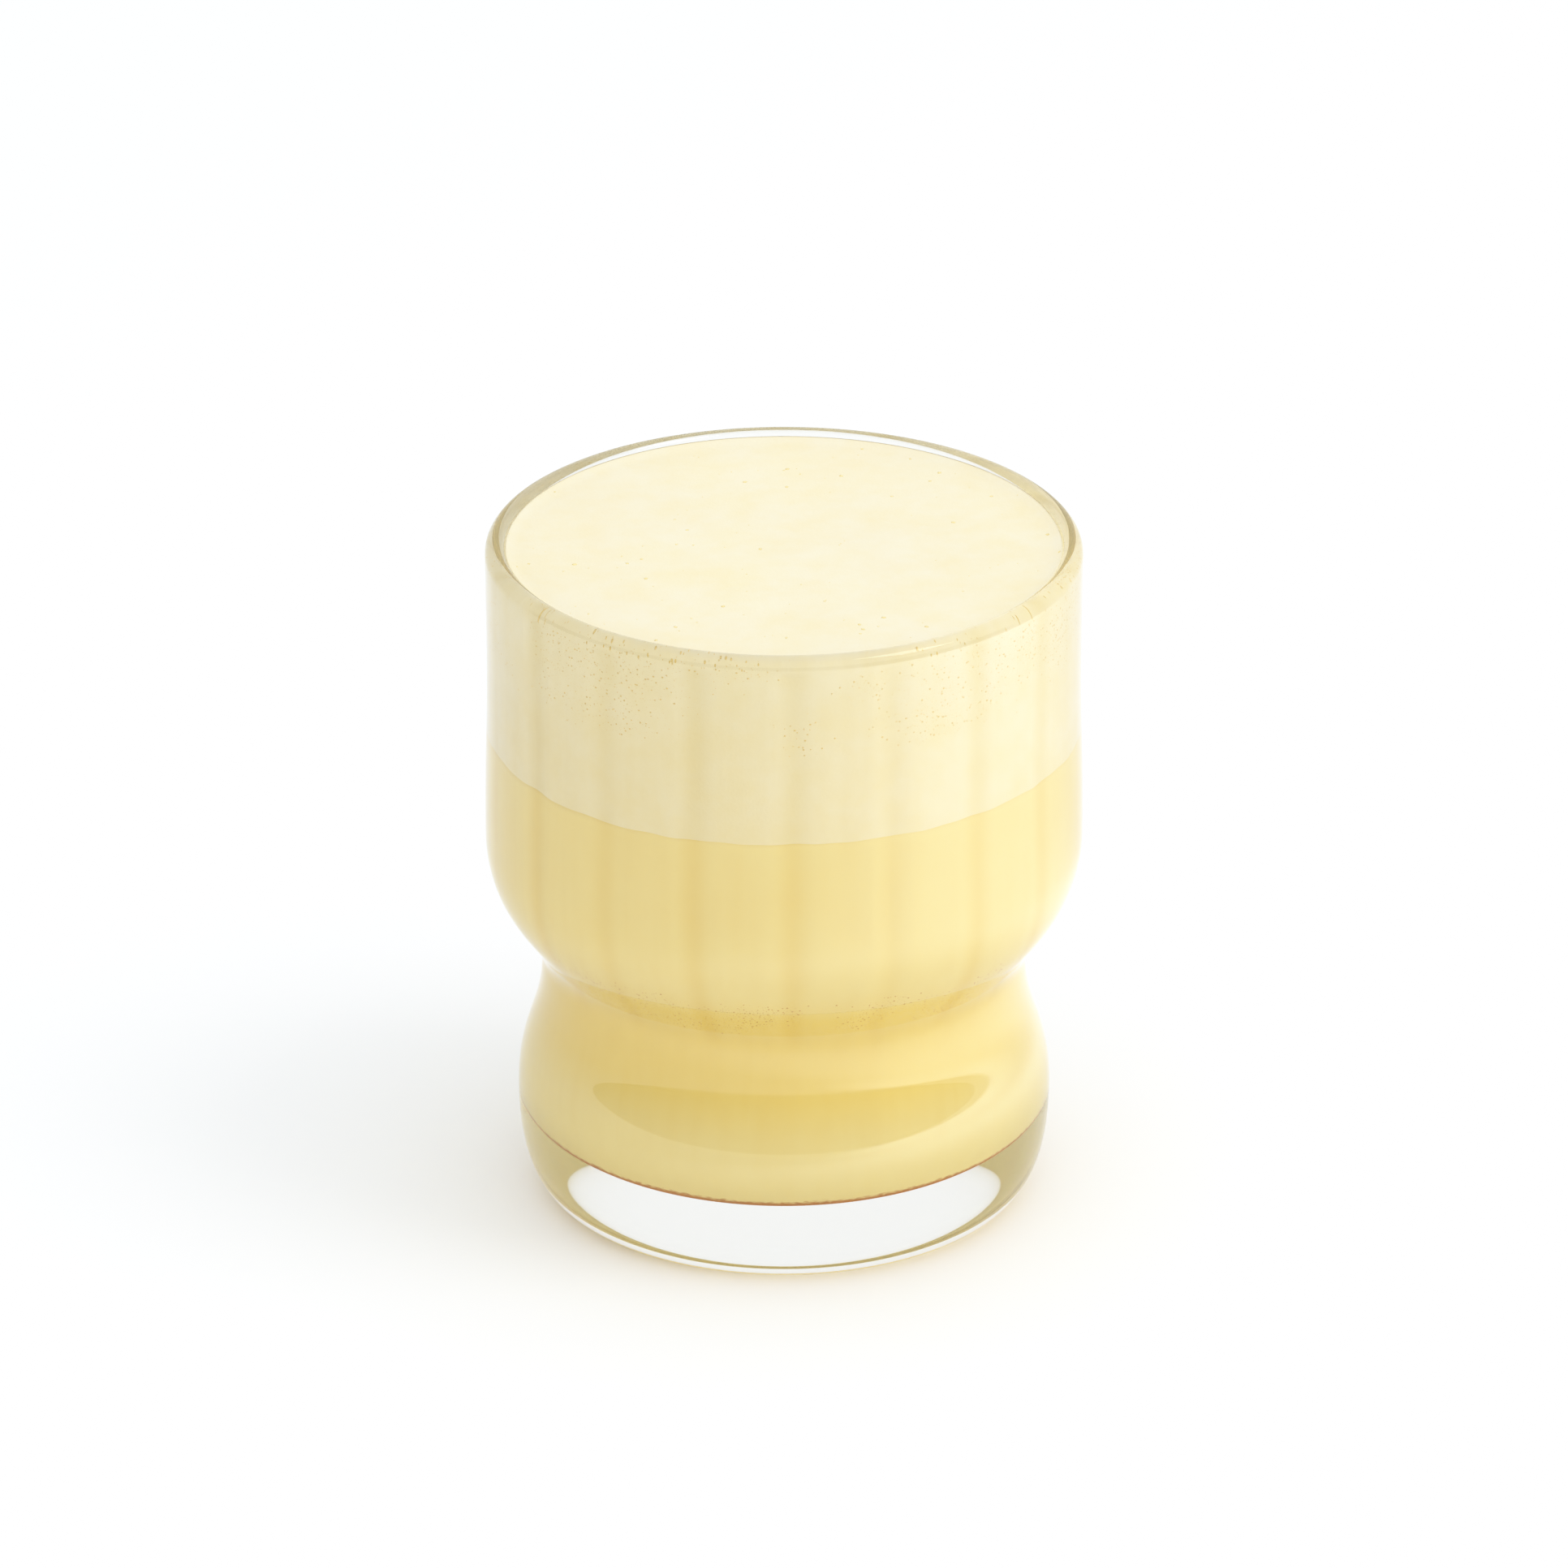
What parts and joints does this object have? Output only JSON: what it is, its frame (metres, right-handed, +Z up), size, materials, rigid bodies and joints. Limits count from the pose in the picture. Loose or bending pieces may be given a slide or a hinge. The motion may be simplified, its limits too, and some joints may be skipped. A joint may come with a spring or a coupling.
{
  "type": "golden milk",
  "caption": "Golden milk with a thick pale foam head, filling a clear waisted tumbler with a heavy solid base and fine upright ribs inside its wall.",
  "frame": {"origin": "centre of the flat underside of the glass, on the surface it stands on", "axes": "+Z up along the axis of the glass, -Y towards the side that the picture shows, +X to its right"},
  "size_m": [0.0826, 0.0826, 0.0962],
  "materials": {
    "clear_glass": "polished, clear, faintly straw coloured",
    "golden_milk": "opaque pale yellow liquid with fine turmeric specks",
    "milk_foam": "dense matte cream foam with few fine bubbles"
  },
  "bodies": {
    "root": {"glass": "clear_glass", "milk": "golden_milk", "foam": "milk_foam"}
  },
  "joints": []
}
